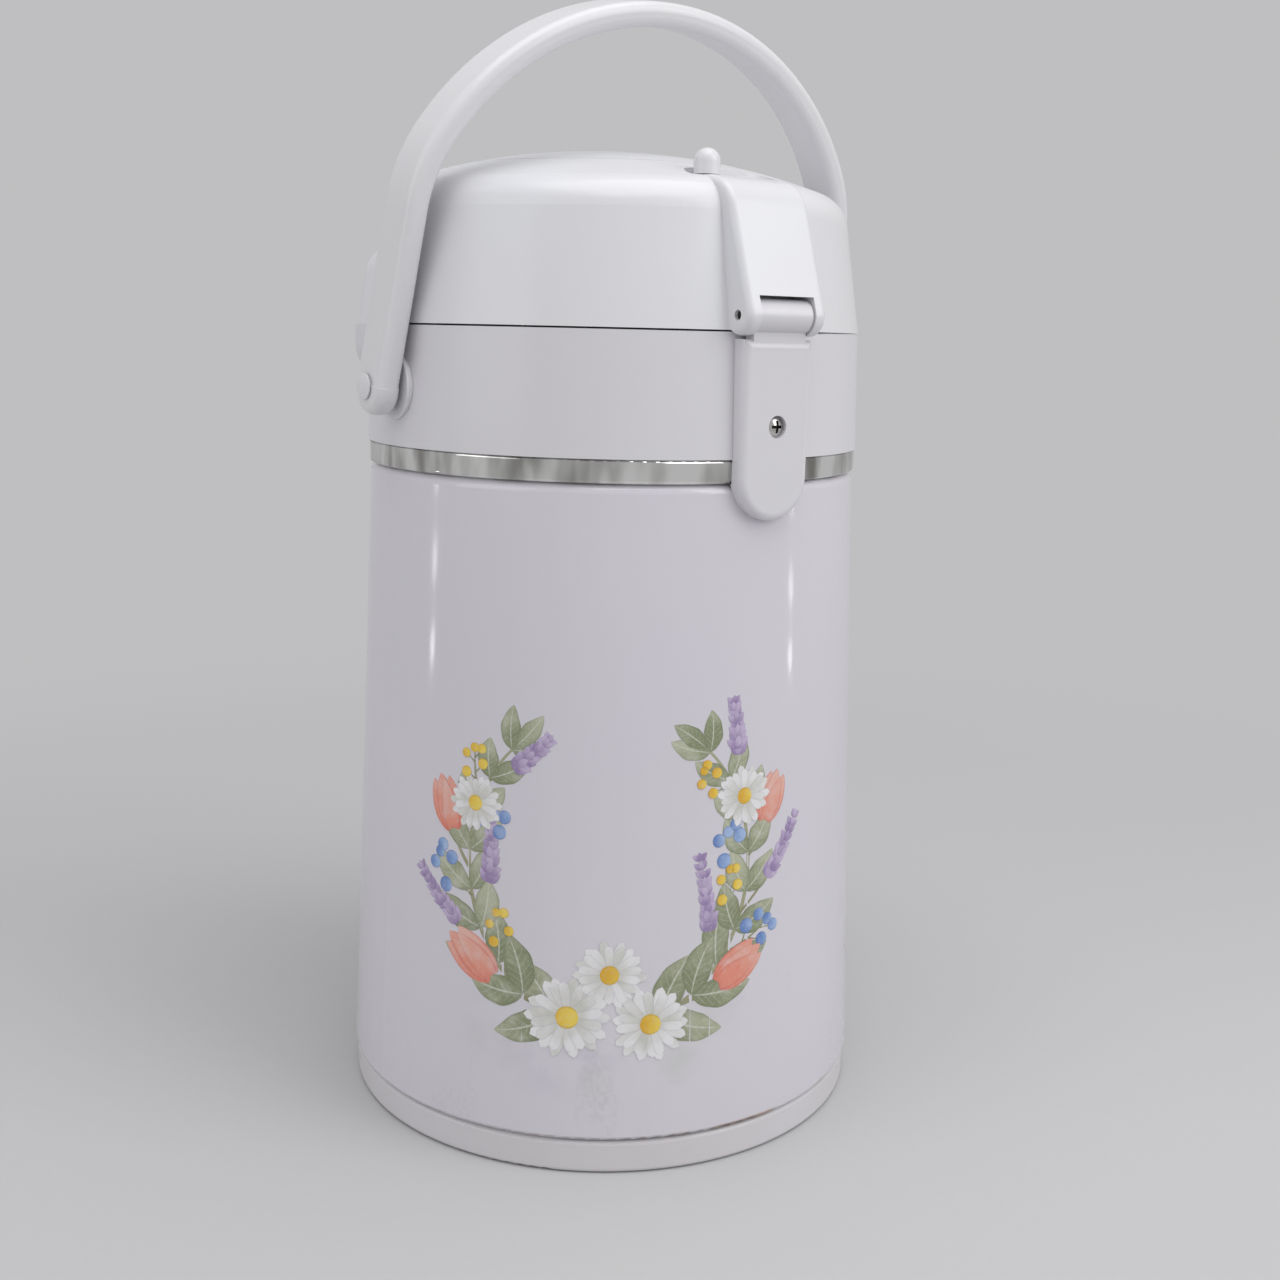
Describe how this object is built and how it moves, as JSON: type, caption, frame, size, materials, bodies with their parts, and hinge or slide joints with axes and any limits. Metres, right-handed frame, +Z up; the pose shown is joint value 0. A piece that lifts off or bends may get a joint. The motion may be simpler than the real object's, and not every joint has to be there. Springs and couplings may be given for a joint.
{
  "type": "pump pot",
  "caption": "Tall tapered vacuum pot with an air pump in its hinged lid, a carrying handle, a spout beak and a swivel foot; pressing the lid's plate pours hot water.",
  "frame": {"origin": "centre of the foot, on the table", "axes": "+Z up, the spout points to -Y, the lid's hinge is at +Y, the handle turns about X"},
  "size_m": [0.1728, 0.2059, 0.3347],
  "materials": {
    "white_plastic": "smooth moulded, satin gloss",
    "enamel": "gloss enamel with a printed flower design",
    "chrome": "bright plated",
    "steel": "plain turned or drawn",
    "silvered_glass": "silvered between the walls",
    "seal_rubber": "soft silicone, matte",
    "bellows_rubber": "soft moulded, matte",
    "inner_plastic": "plain moulded, matte"
  },
  "bodies": {
    "foot": {"base_foot": "white_plastic"},
    "pot": {"bottom_cover": "inner_plastic", "foot_washer": "steel", "foot_screw": "steel", "outer_case": "enamel", "trim_ring": "chrome", "inner_flask": "silvered_glass", "outer_flask": "silvered_glass", "liner_cushion": "seal_rubber", "neck_gasket": "seal_rubber", "collar": "white_plastic", "hinge_bracket": "white_plastic", "bracket_screw": "steel", "pivot_bush_left": "white_plastic", "pivot_bush_right": "white_plastic", "mouth_stopper": "inner_plastic", "stopper_seal": "seal_rubber", "dip_tube": "inner_plastic", "pour_pipe": "inner_plastic", "nozzle": "white_plastic"},
    "handle_pins": {"pivot_pin_left": "white_plastic", "pivot_pin_right": "white_plastic", "pivot_clip_left": "steel", "pivot_clip_right": "steel"},
    "handle": {"handle": "white_plastic"},
    "lid": {"lid_shell": "white_plastic", "hinge_pin": "steel", "lid_base": "inner_plastic", "lid_gasket": "seal_rubber", "air_valve": "seal_rubber", "lid_screws": "steel", "bellows": "bellows_rubber", "return_spring": "steel"},
    "push": {"push_plate": "white_plastic"},
    "lock": {"lock_slider": "white_plastic"},
    "catch": {"lid_catch": "white_plastic"}
  },
  "joints": [
    {"name": "turntable", "type": "hinge", "parent": "foot", "child": "pot", "pos_m": [0, 0, 0], "axis": [0, 0, 1], "continuous": true},
    {"name": "lid_hinge", "type": "hinge", "parent": "pot", "child": "lid", "pos_m": [0, 0.0774, 0.2452], "axis": [-1, 0, 0], "range_deg": [0, 52]},
    {"name": "handle_carry", "type": "hinge", "parent": "pot", "child": "handle_pins", "pos_m": [0, 0, 0.2235], "axis": [-1, 0, 0], "range_deg": [0, 109.2]},
    {"name": "handle_swing", "type": "hinge", "parent": "handle_pins", "child": "handle", "pos_m": [0, 0, 0.2235], "axis": [1, 0, 0], "range_deg": [-105, 30]},
    {"name": "plate_press", "type": "slide", "parent": "lid", "child": "push", "axis": [0, 0, 1], "range_m": [-0.022, 0], "stiffness_N_per_m": 500, "springref_m": 0.004, "deforming": ["bellows", "return_spring"]},
    {"name": "lock_slide", "type": "slide", "parent": "lid", "child": "lock", "axis": [-1, 0, 0], "range_m": [0, 0.02]},
    {"name": "catch_press", "type": "slide", "parent": "lid", "child": "catch", "axis": [0, 1, 0], "range_m": [0, 0.0025], "stiffness_N_per_m": 600, "springref_m": -0.0015}
  ],
  "couplings": [
    {"joint": "handle_carry", "follows": "lid_hinge", "ratio": 2.1}
  ]
}
